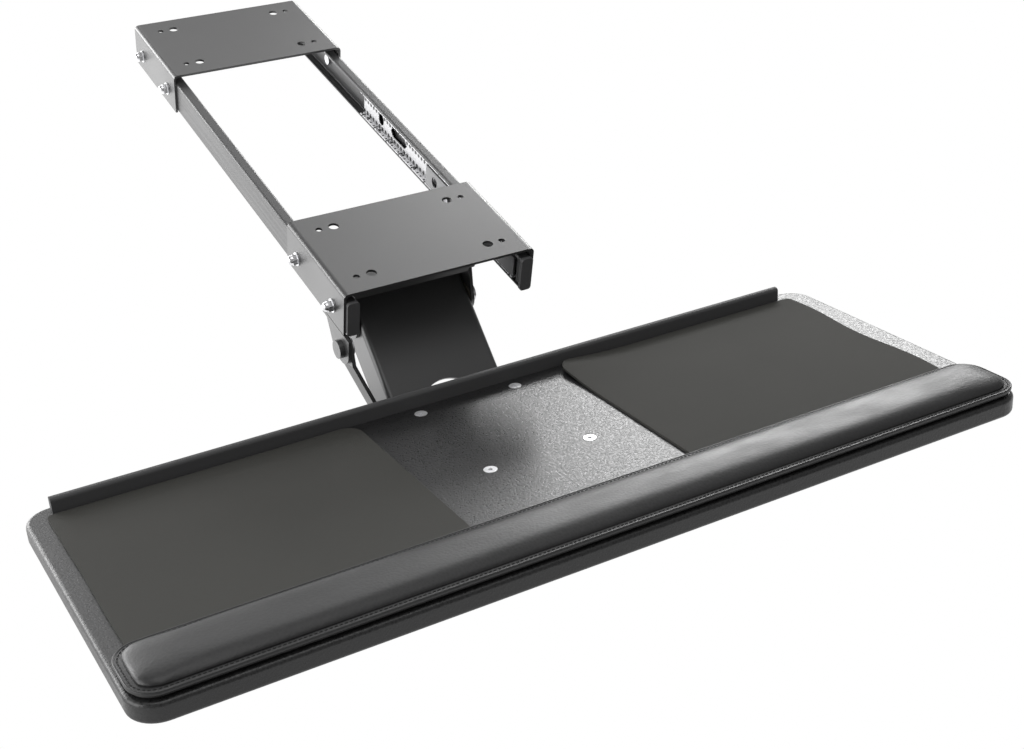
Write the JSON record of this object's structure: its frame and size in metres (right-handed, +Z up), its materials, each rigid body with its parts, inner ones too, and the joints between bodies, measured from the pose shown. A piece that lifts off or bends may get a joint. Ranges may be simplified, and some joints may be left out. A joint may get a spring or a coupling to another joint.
{
  "type": "keyboard tray under desk",
  "caption": "Pull-out keyboard tray that hangs under a desk on ball-bearing slides, with a swing arm, slotted height stay, tilting board, side pads and padded wrist rest.",
  "frame": {"origin": "middle of the front bracket's top face, on the desk's underside", "axes": "+X to the user's right, +Y to the rear under the desk, +Z up into the desk"},
  "size_m": [0.65, 0.7269, 0.1465],
  "materials": {
    "powder_coat": "satin",
    "rail_steel": "satin",
    "cap_plastic": "matte",
    "zinc": "bright",
    "chrome": "polished",
    "ball_steel": "polished",
    "washer_plastic": "matte",
    "laminate": "fine pebble grain",
    "mat": "matte",
    "base_plastic": "matte",
    "leather": "soft sheen"
  },
  "bodies": {
    "desk_frame": {"front_bracket": "powder_coat", "rear_bracket": "powder_coat", "left_channel": "rail_steel", "right_channel": "rail_steel", "channel_end_caps": "cap_plastic", "side_bolts": "zinc", "side_washers": "zinc", "dome_nuts": "chrome"},
    "left_cage_body": {"left_cage": "zinc", "left_balls": "ball_steel"},
    "right_cage_body": {"right_cage": "zinc", "right_balls": "ball_steel"},
    "carriage": {"carriage_plate": "powder_coat", "left_inner_rail": "rail_steel", "right_inner_rail": "rail_steel", "rail_rivets": "zinc", "clevis": "powder_coat", "clevis_rivets": "zinc", "arm_pin": "zinc", "arm_pin_nut": "zinc", "stay_pin": "powder_coat", "stay_clip": "zinc"},
    "arm_body": {"arm": "powder_coat", "arm_washers": "washer_plastic", "stay_stud": "zinc", "stay_sleeve": "zinc", "stay_washer": "zinc", "stay_nut": "zinc", "tilt_pin": "zinc", "tilt_pin_nut": "zinc"},
    "stay_body": {"stay": "powder_coat"},
    "tray": {"tray_hanger": "powder_coat", "tilt_washers": "washer_plastic", "board": "laminate", "board_screws": "chrome", "board_nuts": "zinc", "rear_lip": "laminate", "lip_screws": "zinc", "left_pad": "mat", "right_pad": "mat", "wrist_base": "base_plastic", "wrist_rest": "leather"}
  },
  "joints": [
    {"name": "carriage_slide", "type": "slide", "parent": "desk_frame", "child": "carriage", "axis": [0, 1, 0], "range_m": [0, 0.15]},
    {"name": "left_cage_roll", "type": "slide", "parent": "desk_frame", "child": "left_cage_body", "axis": [0, 1, 0], "range_m": [0, 0.075]},
    {"name": "right_cage_roll", "type": "slide", "parent": "desk_frame", "child": "right_cage_body", "axis": [0, 1, 0], "range_m": [0, 0.075]},
    {"name": "arm_height", "type": "hinge", "parent": "carriage", "child": "arm_body", "pos_m": [0, -0.004, -0.065], "axis": [1, 0, 0], "range_deg": [0, 25]},
    {"name": "stay_swing", "type": "hinge", "parent": "carriage", "child": "stay_body", "pos_m": [-0.076, -0.048, -0.049], "axis": [1, 0, 0], "range_deg": [0, 23.2]},
    {"name": "tray_tilt", "type": "hinge", "parent": "arm_body", "child": "tray", "pos_m": [0, -0.10073, -0.12903], "axis": [1, 0, 0], "range_deg": [0, 18]}
  ],
  "couplings": [
    {"joint": "left_cage_roll", "follows": "carriage_slide", "ratio": 0.5},
    {"joint": "right_cage_roll", "follows": "carriage_slide", "ratio": 0.5},
    {"joint": "stay_swing", "follows": "arm_height", "ratio": 0.92}
  ]
}
